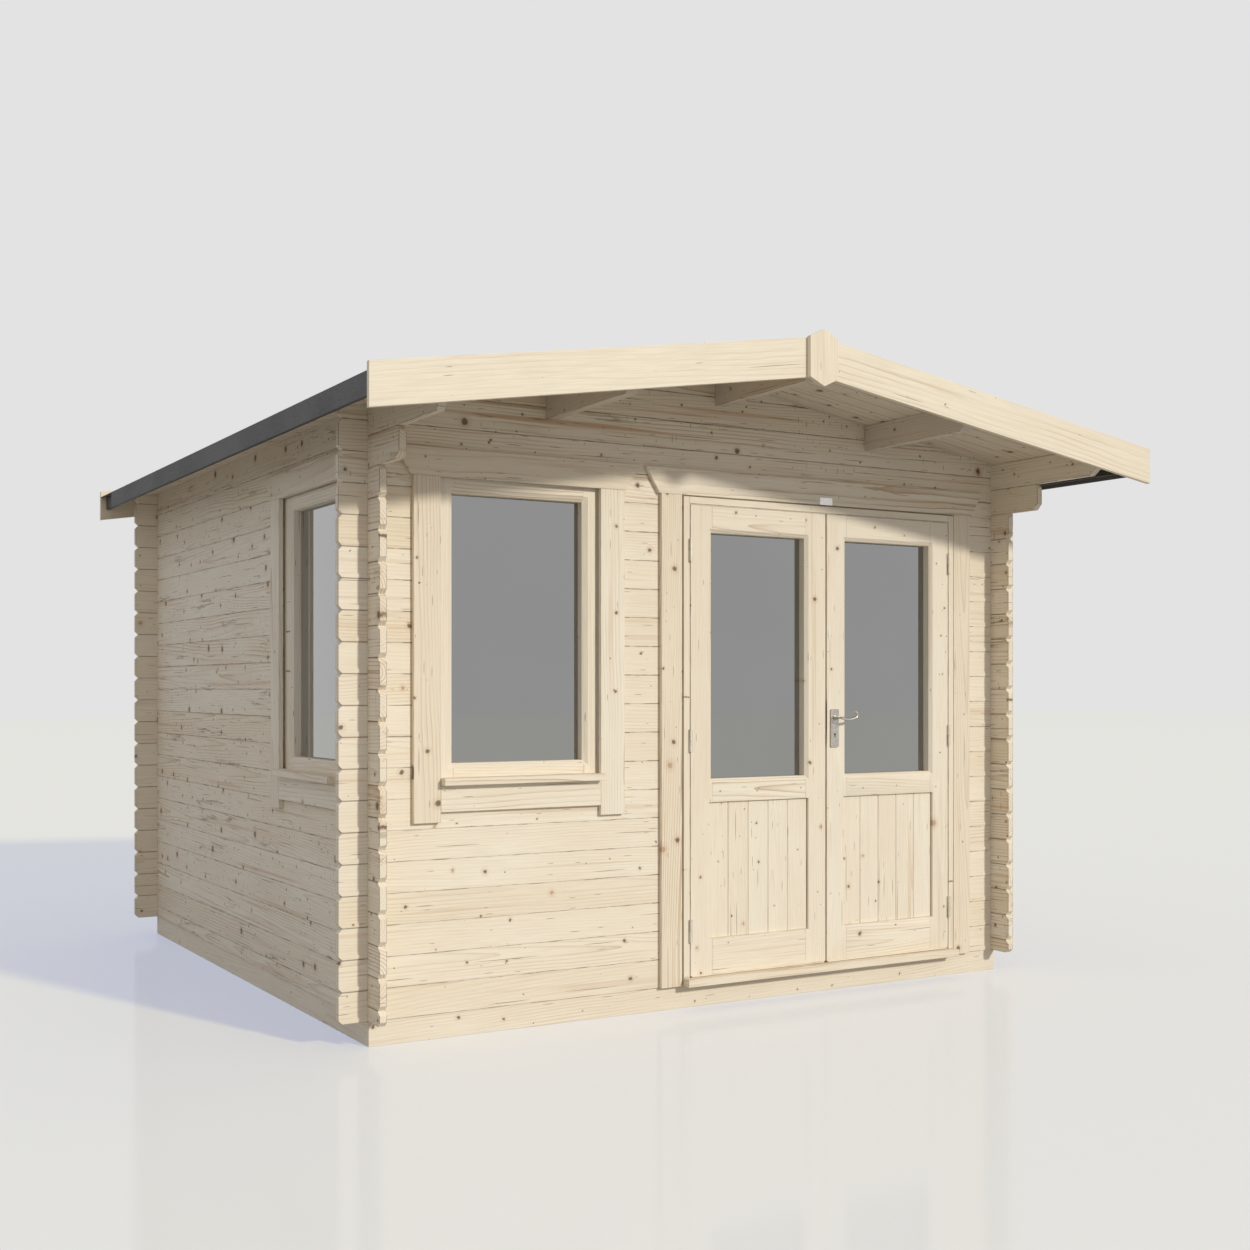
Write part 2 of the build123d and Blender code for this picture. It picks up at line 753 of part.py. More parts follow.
# Door frame: two jambs and a head, stepped so that they show flush with the leaves beside the trim
door_face = front_face.shift_origin((door_x, -wall_depth / 2, 0))
jamb_bottom = door_sill_top + fit_gap
head_width = door_clear_width - 2 * fit_gap
with BuildPart() as door_frame:
    with BuildSketch(door_face):
        with GridLocations(door_clear_width + jamb_width, 0, 2, 1):
            with Locations((0, jamb_bottom)):
                Rectangle(jamb_width, frame_top - jamb_bottom, align=(Align.CENTER, Align.MIN))
        with Locations((0, frame_top)):
            head_depth = frame_top - frame_head_bottom
            Rectangle(head_width, head_depth, align=(Align.CENTER, Align.MAX))
    extrude(amount=leaf_proud - jamb_depth)
    with BuildSketch(door_face):
        shown_height = frame_head_bottom + door_reveal - jamb_bottom
        with GridLocations(door_clear_width + door_reveal, 0, 2, 1):
            with Locations((0, jamb_bottom)):
                Rectangle(door_reveal, shown_height, align=(Align.CENTER, Align.MIN))
        with Locations((0, frame_head_bottom)):
            Rectangle(head_width, door_reveal, align=(Align.CENTER, Align.MIN))
    extrude(amount=leaf_proud)

# Stops behind the leaves
with BuildPart() as door_stops:
    with BuildSketch(door_face.offset(leaf_proud - leaf_thickness - leaf_gap)):
        with GridLocations(head_width - stop_width, 0, 2, 1):
            with Locations((0, jamb_bottom)):
                height = frame_head_bottom - fit_gap - jamb_bottom
                Rectangle(stop_width, height, align=(Align.CENTER, Align.MIN))
        with Locations((0, frame_head_bottom - fit_gap)):
            width = head_width - 2 * stop_width - 2 * fit_gap
            Rectangle(width, stop_width, align=(Align.CENTER, Align.MAX))
    extrude(amount=-stop_thickness)

# Boards round the doorway
with BuildPart() as door_trim:
    with BuildSketch(door_face.offset(fit_gap)):
        with GridLocations(door_trim_inside + door_trim_width, 0, 2, 1):
            with Locations((0, base_height)):
                Rectangle(door_trim_width, head_bottom - base_height, align=(Align.CENTER, Align.MIN))
        with BuildLine():
            Polyline(*head_board_corners(door_trim_outside), close=True)
        make_face()
    extrude(amount=trim_thickness)

# Sill under the leaves
with BuildPart() as door_sill:
    with BuildSketch(door_face.offset(door_sill_projection)):
        with Locations((0, base_height + fit_gap)):
            Rectangle(door_face_width, door_sill_thickness, align=(Align.CENTER, Align.MIN))
    extrude(amount=frame_back - door_sill_projection)

# Door leaves, the right one with the handle by its meeting edge
handle_x = door_x + meeting_gap / 2 + handle_backset
left_door_leaf = door_leaf(left_leaf_x, None)
left_door_glass = leaf_glass(left_leaf_x)
left_door_panel = leaf_panel(left_leaf_x)
right_door_leaf = door_leaf(right_leaf_x, handle_x)
right_door_glass = leaf_glass(right_leaf_x)
right_door_panel = leaf_panel(right_leaf_x)

# Hinges
left_door_knuckles = knuckles(door_x - hinge_reach, 1, True)
right_door_knuckles = knuckles(door_x + hinge_reach, -1, True)
left_frame_knuckles = knuckles(door_x - hinge_reach, -1, False)
right_frame_knuckles = knuckles(door_x + hinge_reach, 1, False)
with BuildPart() as door_frame_knuckles:
    add(left_frame_knuckles.part)
    add(right_frame_knuckles.part)

# Handle plates on both faces of the right leaf
leaf_face = front_face.shift_origin((handle_x, -wall_depth / 2, 0)).offset(leaf_proud)
leaf_mid_plane = leaf_face.offset(-leaf_thickness / 2)
with BuildPart() as right_door_handle_plates:
    with BuildSketch(leaf_face.offset(fit_gap)):
        plate_middle = handle_height + plate_top_above_spindle - plate_height / 2
        with Locations((0, plate_middle)):
            RectangleRounded(plate_width, plate_height, plate_corner_radius)
        with Locations((0, handle_height)):
            Circle(spindle_radius + spindle_gap, mode=Mode.SUBTRACT)
        with Locations((0, handle_height - keyhole_drop)):
            Circle(keyhole_radius, mode=Mode.SUBTRACT)
            Rectangle(
                keyhole_slot_width,
                keyhole_slot_length,
                align=(Align.CENTER, Align.MAX),
                mode=Mode.SUBTRACT,
            )
    extrude(amount=plate_thickness)
    mirror(about=leaf_mid_plane)

# Lever on both faces, with the spindle between them
with BuildPart() as door_lever:
    plate_face = leaf_face.offset(fit_gap + plate_thickness)
    with BuildSketch(leaf_mid_plane):
        with Locations((0, handle_height)):
            Circle(spindle_radius)
    extrude(amount=leaf_thickness / 2 + fit_gap + plate_thickness + lever_stand_off)
    with BuildSketch(plate_face.offset(fit_gap)):
        with Locations((0, handle_height)):
            Circle(hub_radius)
    extrude(amount=hub_length)
    with BuildLine(plate_face.offset(lever_stand_off)) as grip:
        arm = ThreePointArc(
            (0, handle_height),
            (lever_length / 2, handle_height - lever_droop),
            (lever_length, handle_height),
        )
        JernArc(arm @ 1, arm % 1, lever_curl_radius, lever_curl_angle)
    with BuildSketch(Plane(origin=grip.line @ 0, z_dir=grip.line % 0)):
        Circle(lever_radius)
    sweep()
    mirror(about=leaf_mid_plane)

pieces = {
    "base_frame": base_frame,
    "floor_joists": floor_joists,
    "floor_boards": floor_boards,
    "front_wall_under_window": front_wall_under_window,
    "front_wall_left_end": front_wall_left_end,
    "front_wall_between_openings": front_wall_between_openings,
    "front_wall_right_end": front_wall_right_end,
    "front_wall_over_openings": front_wall_over_openings,
    "back_wall": back_wall,
    "left_wall_under_window": left_wall_under_window,
    "left_wall_front_end": left_wall_front_end,
    "left_wall_back_end": left_wall_back_end,
    "left_wall_top_log": left_wall_top_log,
    "right_wall": right_wall,
    "right_wall_top_log": right_wall_top_log,
    "left_eave_purlin": left_eave_purlin,
    "right_eave_purlin": right_eave_purlin,
    "roof_purlins": roof_purlins,
    "left_roof_boards": left_roof_boards,
    "right_roof_boards": right_roof_boards,
    "roof_covering": roof_covering,
    "eave_fascias": eave_fascias,
    "front_barge_boards": front_barge_boards,
    "back_barge_boards": back_barge_boards,
    "finials": finials,
    "front_window_frame": front_window_frame,
    "front_window_sash": front_window_sash,
    "front_window_glass": front_window_glass,
    "front_window_trim": front_window_trim,
    "front_window_sill": front_window_sill,
    "side_window_frame": side_window_frame,
    "side_window_sash": side_window_sash,
    "side_window_glass": side_window_glass,
    "side_window_trim": side_window_trim,
    "side_window_sill": side_window_sill,
    "door_frame": door_frame,
    "door_stops": door_stops,
    "door_trim": door_trim,
    "door_sill": door_sill,
    "door_frame_knuckles": door_frame_knuckles,
    "left_door_leaf": left_door_leaf,
    "left_door_glass": left_door_glass,
    "left_door_panel": left_door_panel,
    "left_door_knuckles": left_door_knuckles,
    "right_door_leaf": right_door_leaf,
    "right_door_glass": right_door_glass,
    "right_door_panel": right_door_panel,
    "right_door_knuckles": right_door_knuckles,
    "right_door_handle_plates": right_door_handle_plates,
    "door_lever": door_lever,
}
os.makedirs("parts", exist_ok=True)
for name, piece in pieces.items():
    piece.part.label = name
    export_step(piece.part, f"parts/{name}.step")
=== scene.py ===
import json
import random
from math import cos, pi, radians, sin

import bmesh
import bpy
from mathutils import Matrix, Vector


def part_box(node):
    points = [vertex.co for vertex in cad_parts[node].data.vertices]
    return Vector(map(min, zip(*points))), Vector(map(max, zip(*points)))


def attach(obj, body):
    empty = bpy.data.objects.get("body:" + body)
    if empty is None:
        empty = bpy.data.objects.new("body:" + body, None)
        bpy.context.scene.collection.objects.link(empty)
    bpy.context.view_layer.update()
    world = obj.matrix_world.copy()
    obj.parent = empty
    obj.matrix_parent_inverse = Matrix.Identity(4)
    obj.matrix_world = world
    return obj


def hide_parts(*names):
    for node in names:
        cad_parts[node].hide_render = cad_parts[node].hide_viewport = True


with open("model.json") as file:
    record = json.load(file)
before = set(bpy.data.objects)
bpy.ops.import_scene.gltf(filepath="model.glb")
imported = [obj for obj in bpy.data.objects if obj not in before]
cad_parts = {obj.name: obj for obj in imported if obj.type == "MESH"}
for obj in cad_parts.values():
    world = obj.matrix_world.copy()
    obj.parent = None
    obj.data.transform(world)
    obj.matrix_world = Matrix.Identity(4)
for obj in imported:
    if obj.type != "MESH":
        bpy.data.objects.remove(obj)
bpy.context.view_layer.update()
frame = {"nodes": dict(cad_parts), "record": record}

# Metres. +X is right, -Y is the front, +Z is up, and the ground is at zero.
right, up = Vector((1, 0, 0)), Vector((0, 0, 1))
front, back = Vector((0, -1, 0)), Vector((0, 1, 0))
x_axis, y_axis = 0, 1

# Camera, from the photograph's vanishing points
image_size = 1250
focal_pixels = 1551.6
horizon_row = 687.69
camera_place = (-3.5275, -6.6718, 1.2736)
camera_turn = radians(30.74)
sensor_width = 36.0

# Light
sun_from = Vector((0.35, -1.0, 0.46))
sun_strength = 2.05
sun_colour = (1.0, 0.955, 0.86)
sun_width = radians(4.0)
sky_strength = 0.564
sky_colour = (0.99, 0.985, 1.02)
backdrop_colour = (0.767, 0.767, 0.767)
floor_reach = 60.0
floor_bounce = (0.33, 0.33, 0.325)  # colour for the light that it throws back
floor_colour = (0.67, 0.60, 0.27)  # colour where it is seen, under the lift
floor_lift = (0.233, 0.295, 0.525)
floor_gloss = 0.09
floor_roughness = 0.10
floor_sheen = (1.0, 1.0, 1.0)

# Timber shapes
weld_distance = 1e-5
flat_angle = radians(0.5)
sharp_angle = radians(25)
roof_pitch = radians(8.9)
log_round = 0.0009
board_round = 0.0014
joinery_round = 0.0008
round_share = 0.4  # of the shortest edge, at most
round_segments = 2
round_profile = 0.5
roof_board_pitch = 0.0889
floor_board_pitch = 0.112

# Noise: scales are per metre along, across and through a board
noise_middle = 0.5
noise_span = (0.3, 0.7)  # where most of a noise lies
plain_detail, fine_detail = 2.0, 3.0
plain_rough = 0.5

# Rings. A draw is a factor for the board's own number, then the lowest and highest value.
fine_pitch, broad_pitch = 0.0065, 0.0105
level_figure = 1.8  # how much broader and stronger the rings are in boards that lie level
board_shift = (571.3, 237.9, 113.1)  # sets the marks of one board apart from the next
wander_scales, wave_scales = (1.1, 4.0, 4.0), (7.0, 12.0, 12.0)
wander_bend, wave_bend = 0.012, 0.004
wander_across, wave_turn = 0.05, 0.4
lean_draw = (17.3, -0.035, 0.035)
centre_draw = (91.7, -0.08, 0.08)
depth_draw = (53.1, 0.015, 0.07)
taper_draw = (71.9, -0.03, 0.03)
strength_draw = (37.7, 0.4, 1.6)
ring_sharpness = 5.0
patch_scales, patch_fade = (1.6, 9.0, 9.0), (0.35, 0.65, 0.3, 1.3)
ring_colour = (0.50, 0.34, 0.19)

# Tone, streaks and fibres
cloud_scales = (2.2, 7.0, 7.0)
board_tone, cloud_tone = 0.35, 0.65
tone_fade = (0.25, 0.75)
streak_scales, streak_fade = (0.7, 34.0, 34.0), (0.60, 0.74)
streak_colour = (0.56, 0.35, 0.19)
fibre_scales, fibre_rough, fibre_fade = (7.0, 260.0, 260.0), 0.6, (0.35, 0.75)
fibre_share, fibre_colour = 0.2, (0.55, 0.40, 0.25)

# Knots: the size of a cell that may hold one, and the least and greatest radius
knot_cell, knot_radii = 0.17, (0.0035, 0.012)
speck_cell, speck_radii = 0.11, (0.0018, 0.0045)
blush_cell, blush_radii = 0.46, (0.008, 0.017)
speck_offset, blush_offset = (3.7, 5.1, 0), (9.1, 2.3, 0)
knot_warp_scale, knot_warp = 70.0, 0.012
spot_power = 2.5  # makes most spots small
spot_core, rim_reach = 0.45, (0.8, 2.4)  # shares of a spot's radius
halo_share, halo_colour = 0.24, (0.55, 0.33, 0.17)
blush_rim_share, blush_rim_colour = 0.30, (0.62, 0.40, 0.24)
blush_share, blush_colour = 0.65, (0.40, 0.24, 0.14)
knot_share, knot_colour = 0.85, (0.115, 0.068, 0.042)
speck_share, speck_colour = 0.8, (0.13, 0.085, 0.052)

# Cracks, nicks and scars: length and height of a cell, then length and width of a long mark
crack_cell, crack_size = (0.42, 0.055), (0.26, 0.0016)
nick_cell, nick_size = (0.12, 0.04), (0.05, 0.0013)
tick_cell, tick_size = (0.06, 0.045), (0.035, 0.0028)
nick_offset, torn_offset = (4.3, 8.9, 0), (6.7, 1.9, 0)
half_least_share, half_drawn_share = 1 / 12, 1 / 2  # of that length: half a mark, and what chance adds
crack_core = 0.25
crack_share, crack_colour = 0.85, (0.13, 0.075, 0.04)
tick_patch_scales, tick_patch_fade = (1.7, 8.0, 8.0), (0.48, 0.60)
torn_patch_scales, torn_patch_fade = (1.6, 15.0, 15.0), (0.61, 0.70)
fray_scales, tear_fade = (3.2, 75.0, 75.0), (0.012, 0.05)

# Joints between boards: darker lines along every edge of a board, partly grime and partly painted shade in
# the grooves
joint_core, joint_width = 0.00075, 0.003
dash_scales, dash_fade = (11.0, 3.0, 3.0), (0.46, 0.64)
log_end = (0.105, 0.125)  # where the joints between logs become unbroken, from the end
# Colour of the joint lines: grime, and painted shade in the grooves
joint_grime_and_shade_colour = (0.15, 0.09, 0.05)

# Surface of the wood: a relief is a bump's strength and height
wood_roughness, wood_gloss = (0.52, 0.68), 0.3
fibre_relief, ring_relief = 0.35, 0.25
wood_relief = (0.35, 0.0012)
fascia_stain = 0.062

# Roofing felt
felt_sheet = 0.001
felt_roll = 0.91  # eave to the edge of the upper sheet, along the slope
ridge_strip = 0.15
nail_radius = 0.005
nail_height = 0.0008
nail_spacing = 0.1
nail_inset = 0.025
nail_sides = 10
grit_scale, grit_fade = 520.0, (0.55, 1.0, 0.0, 0.5)
felt_cloud_scales, felt_cloud_detail = (3.0, 3.0, 3.0), 4.0
felt_dark, felt_pale, grit_colour = (0.125, 0.126, 0.130), (0.165, 0.165, 0.168), (0.30, 0.30, 0.305)
felt_roughness, felt_gloss = (0.95, 0.75), 0.2
felt_relief = (0.4, 0.0006)

# Metal and glass
metal_mark_scales, metal_stain_scales = (900.0, 900.0, 60.0), (60.0, 60.0, 60.0)
metal_spread = (-0.06, 0.08)  # of the roughness
metal_relief = (0.08, 0.0002)
glass_wave_scales, glass_wave_detail = (2.5, 2.5, 2.5), 1.0
glass_dark, glass_pale = (0.314, 0.316, 0.314), (0.337, 0.339, 0.337)
glass_roughness = 0.04
glass_relief = (0.02, 0.002)

# Screws in the handle plates
screw_radius = 0.0042
screw_height = 0.0012
screw_floor = 0.0005
screw_slot = 0.0009
screw_inset = 0.010  # from the end of the plate
arc_steps = 12

# Painted shade in the keyholes: a near-black disc and slot just behind each plate face
keyhole_drop = 0.070  # below the spindle
keyhole_shade_radius = 0.0042
keyhole_shade_slot_width, keyhole_shade_slot_height = 0.0036, 0.0138
keyhole_shade_gap = 0.0005
keyhole_shade_depth, keyhole_shade_slot_depth = 0.003, 0.0027

# Blank plate over the doors
plate_middle = (0.5235, 2.0545)
plate_size = (0.065, 0.030)
plate_thickness = 0.0012
plate_corner = 0.004
plate_gap = 0.0001
pin_radius = 0.0016
pin_height = 0.0006
pin_inset = 0.006

# Beads in the gaps round the leaves, and sweeps under them
bead_width = 0.0032
bead_setback = 0.004
bead_depth = 0.010
sweep_height = 0.006
sweep_setback = 0.0006
sweep_slant = 0.001
sweep_end_gap = 0.006

nodes = frame["nodes"]
behaviour = frame["record"]["behaviour"]
slot_of = {part["node"]: part["material_slot"] for part in frame["record"]["subparts"]}
body_of = {node: body for body, members in behaviour["bodies"].items() for node in members}
pivots = {joint["name"]: Vector(joint["pos_m"]) for joint in behaviour["joints"]}


# Shader building

# Sockets of a colour mix
mix_share, mix_first, mix_second, mix_result = 0, 6, 7, 2


def add(tree, kind, inputs=(), **settings):
    """One shader node, with its settings, and its inputs set or linked."""
    made = tree.nodes.new("ShaderNode" + kind)
    for key, value in settings.items():
        setattr(made, key, value)
    for key, value in dict(inputs).items():
        if isinstance(value, bpy.types.NodeSocket):
            tree.links.new(value, made.inputs[key])
        else:
            made.inputs[key].default_value = value
    return made


def calc(tree, operation, *values, clamp=False):
    """Result of a math node."""
    return add(tree, "Math", dict(enumerate(values)), operation=operation, use_clamp=clamp).outputs[0]


def vector(tree, operation, *values):
    """Vector result of a vector math node."""
    return add(tree, "VectorMath", dict(enumerate(values)), operation=operation).outputs[0]


def fade(tree, value, low, high, start=0.0, end=1.0):
    """Value taken smoothly from start at low to end at high."""
    inputs = {"Value": value, "From Min": low, "From Max": high, "To Min": start, "To Max": end}
    return add(tree, "MapRange", inputs, interpolation_type="SMOOTHSTEP").outputs["Result"]


def opaque(colour):
    """Colour with its alpha, or the socket that gives one."""
    return colour if isinstance(colour, bpy.types.NodeSocket) else (*colour, 1)


def mix(tree, share, first, second):
    """Colour between first and second."""
    inputs = {mix_share: share, mix_first: opaque(first), mix_second: opaque(second)}
    return add(tree, "Mix", inputs, data_type="RGBA").outputs[mix_result]


def noise(tree, place, scales, detail=plain_detail, rough=plain_rough):
    """Noise over a place, with its own scale along each axis."""
    scaled = vector(tree, "MULTIPLY", place, scales)
    inputs = {"Vector": scaled, "Scale": 1.0, "Detail": detail, "Roughness": rough}
    return add(tree, "TexNoise", inputs).outputs[0]


def swing(tree, place, scales, detail=plain_detail):
    """Noise to both sides of zero."""
    return calc(tree, "SUBTRACT", noise(tree, place, scales, detail), noise_middle)


def warp(tree, place, scale, amount):
    """Place moved about by noise."""
    inputs = {"Vector": place, "Scale": scale, "Detail": plain_detail}
    moved = add(tree, "TexNoise", inputs).outputs["Color"]
    centred = vector(tree, "SUBTRACT", moved, (noise_middle, noise_middle, noise_middle))
    return vector(tree, "MULTIPLY_ADD", centred, (amount, amount, amount), place)


def cells_with_chance(tree, place, share):
    """Flat cells over a place: the cells, whether each has a mark, and a second random number."""
    cells = add(tree, "TexVoronoi", {"Vector": place, "Scale": 1.0}, voronoi_dimensions="2D").outputs
    chance = add(tree, "SeparateColor", {"Color": cells["Color"]}).outputs
    return cells, calc(tree, "LESS_THAN", chance[0], share), chance[1]


def spots(tree, place, cell, radii, size, share):
    """Round spots of mixed size: the inner mask and a wider one round it."""
    scaled = vector(tree, "MULTIPLY", place, (1 / cell, 1 / cell, 0))
    cells, shown, number = cells_with_chance(tree, scaled, share)
    spread = calc(tree, "POWER", number, spot_power)
    smallest, largest = (size * value for value in radii)
    radius = calc(tree, "MULTIPLY_ADD", spread, (largest - smallest) / cell, smallest / cell)
    core = calc(tree, "MULTIPLY", radius, spot_core)
    inner = fade(tree, cells["Distance"], core, radius, 1.0, 0.0)
    rim_start, rim_end = (calc(tree, "MULTIPLY", radius, reach) for reach in rim_reach)
    outer = fade(tree, cells["Distance"], rim_start, rim_end, 1.0, 0.0)
    return calc(tree, "MULTIPLY", inner, shown), calc(tree, "MULTIPLY", outer, shown)


def cracks(tree, place, cell, size, share):
    """Short lines along the first axis, tapered to both ends."""
    cell_length, cell_height = cell
    longest, width = size
    scaled = vector(tree, "MULTIPLY", place, (1 / cell_length, 1 / cell_height, 0))
    cells, shown, number = cells_with_chance(tree, scaled, share)
    away = add(tree, "SeparateXYZ", {0: vector(tree, "SUBTRACT", scaled, cells["Position"])}).outputs
    spread = longest / cell_length
    half = calc(tree, "MULTIPLY_ADD", number, half_drawn_share * spread, half_least_share * spread)
    along = calc(tree, "DIVIDE", away[0], half)
    taper = calc(tree, "SUBTRACT", 1.0, calc(tree, "MULTIPLY", along, along), clamp=True)
    reach = calc(tree, "MULTIPLY", taper, width / cell_height)
    across = calc(tree, "ABSOLUTE", away[1])
    line = fade(tree, across, calc(tree, "MULTIPLY", reach, crack_core), reach, 1.0, 0.0)
    inside = calc(tree, "GREATER_THAN", taper, 0.0)
    return calc(tree, "MULTIPLY", calc(tree, "MULTIPLY", line, shown), inside)


def new_material(name):
    """Material with a plain shader, its tree and that shader."""
    material = bpy.data.materials.new(name)
    material.use_nodes = True
    tree = material.node_tree
    return material, tree, tree.nodes["Principled BSDF"]


def roughen(tree, shader, relief, height):
    """Fine relief on a shader."""
    strength, distance = relief
    bump = add(tree, "Bump", {"Strength": strength, "Distance": distance, "Height": height})
    tree.links.new(bump.outputs[0], shader.inputs["Normal"])


def seen_rays(tree):
    """One for rays that show a surface, straight or by gloss or glass, and zero for other light."""
    paths = add(tree, "LightPath").outputs
    seen = calc(tree, "MAXIMUM", paths["Is Camera Ray"], paths["Is Glossy Ray"])
    return calc(tree, "MAXIMUM", seen, paths["Is Transmission Ray"])


# Wood

def own_number(tree, board, draw):
    """A board's own value between two limits."""
    factor, low, high = draw
    part = calc(tree, "FRACT", calc(tree, "MULTIPLY", board, factor))
    return calc(tree, "MULTIPLY_ADD", part, high - low, low)


def ring_lines(tree, grain, board, figure, pitch, wander, waves):
    """Tapered rings round a centre line that leans and lies off the board."""
    along, across, through = add(tree, "SeparateXYZ", {0: grain}).outputs
    lean = own_number(tree, board, lean_draw)
    centre = calc(tree, "MULTIPLY_ADD", lean, along, own_number(tree, board, centre_draw))
    aside = calc(tree, "SUBTRACT", across, centre)
    aside = calc(tree, "MULTIPLY_ADD", wander, wander_across, aside)
    depth = calc(tree, "ADD", through, own_number(tree, board, depth_draw))
    squared = calc(tree, "MULTIPLY_ADD", aside, aside, calc(tree, "MULTIPLY", depth, depth))
    taper = own_number(tree, board, taper_draw)
    radius = calc(tree, "MULTIPLY_ADD", along, taper, calc(tree, "SQRT", squared))
    turn = calc(tree, "DIVIDE", radius, calc(tree, "MULTIPLY", figure, pitch))
    turn = calc(tree, "MULTIPLY_ADD", waves, wave_turn, turn)
    return calc(tree, "POWER", calc(tree, "FRACT", turn), ring_sharpness)


def knot_marks(tree, place, share, size):
    """Knots of three kinds, with uneven outlines: masks, strengths and colours."""
    uneven = warp(tree, place, knot_warp_scale, knot_warp)
    knot, halo = spots(tree, uneven, knot_cell, knot_radii, size, share)
    speck_place = vector(tree, "ADD", uneven, speck_offset)
    speck, _ = spots(tree, speck_place, speck_cell, speck_radii, size, share)
    blush_place = vector(tree, "ADD", uneven, blush_offset)
    blush, blush_rim = spots(tree, blush_place, blush_cell, blush_radii, 1.0, share)
    return [
        (halo, halo_share, halo_colour),
        (blush_rim, blush_rim_share, blush_rim_colour),
        (blush, blush_share, blush_colour),
        (knot, knot_share, knot_colour),
        (speck, speck_share, speck_colour),
    ]


def split_lines(tree, place, share):
    """Long cracks and short nicks along the grain."""
    crack = cracks(tree, place, crack_cell, crack_size, share)
    nick_place = vector(tree, "ADD", place, nick_offset)
    return calc(tree, "MAXIMUM", crack, cracks(tree, nick_place, nick_cell, nick_size, share))


def scar_marks(tree, place, bent_place, share):
    """Patches of ticks across the grain and of torn fibres along it: masks, strengths and colours."""
    along, across, _ = add(tree, "SeparateXYZ", {0: place}).outputs
    turned_place = add(tree, "CombineXYZ", {0: across, 1: along}).outputs[0]
    tick = cracks(tree, turned_place, tick_cell, tick_size, share)
    tick_patch = fade(tree, noise(tree, place, tick_patch_scales), *tick_patch_fade)
    torn_place = vector(tree, "ADD", bent_place, torn_offset)
    torn_patch = fade(tree, noise(tree, torn_place, torn_patch_scales), *torn_patch_fade)
    fray = calc(tree, "ABSOLUTE", swing(tree, torn_place, fray_scales, fine_detail))
    tear = fade(tree, fray, *tear_fade, 1.0, 0.0)
    return [
        (calc(tree, "MULTIPLY", tick, tick_patch), share, crack_colour),
        (calc(tree, "MULTIPLY", tear, torn_patch), share, crack_colour),
    ]


def joint_grime_and_shade_lines(tree, place, grain, half, joint_floor, end_joints):
    """Darker broken lines along the edges, where boards meet, which may run unbroken near the ends: partly
    grime, partly painted shade in the grooves.
    """
    rim = vector(tree, "SUBTRACT", half, vector(tree, "ABSOLUTE", grain))
    along, across, through = add(tree, "SeparateXYZ", {0: rim}).outputs
    pairs = ((along, across), (across, through), (through, along))
    edges = [calc(tree, "MAXIMUM", *pair) for pair in pairs]
    edge = calc(tree, "MINIMUM", edges[0], calc(tree, "MINIMUM", edges[1], edges[2]))
    line = fade(tree, edge, joint_core, joint_width, 1.0, 0.0)
    dashes = fade(tree, noise(tree, place, dash_scales, fine_detail), *dash_fade, joint_floor, 1.0)
    ends = fade(tree, along, *log_end, end_joints, 0.0)
    return calc(tree, "MULTIPLY", line, calc(tree, "MAXIMUM", dashes, ends))


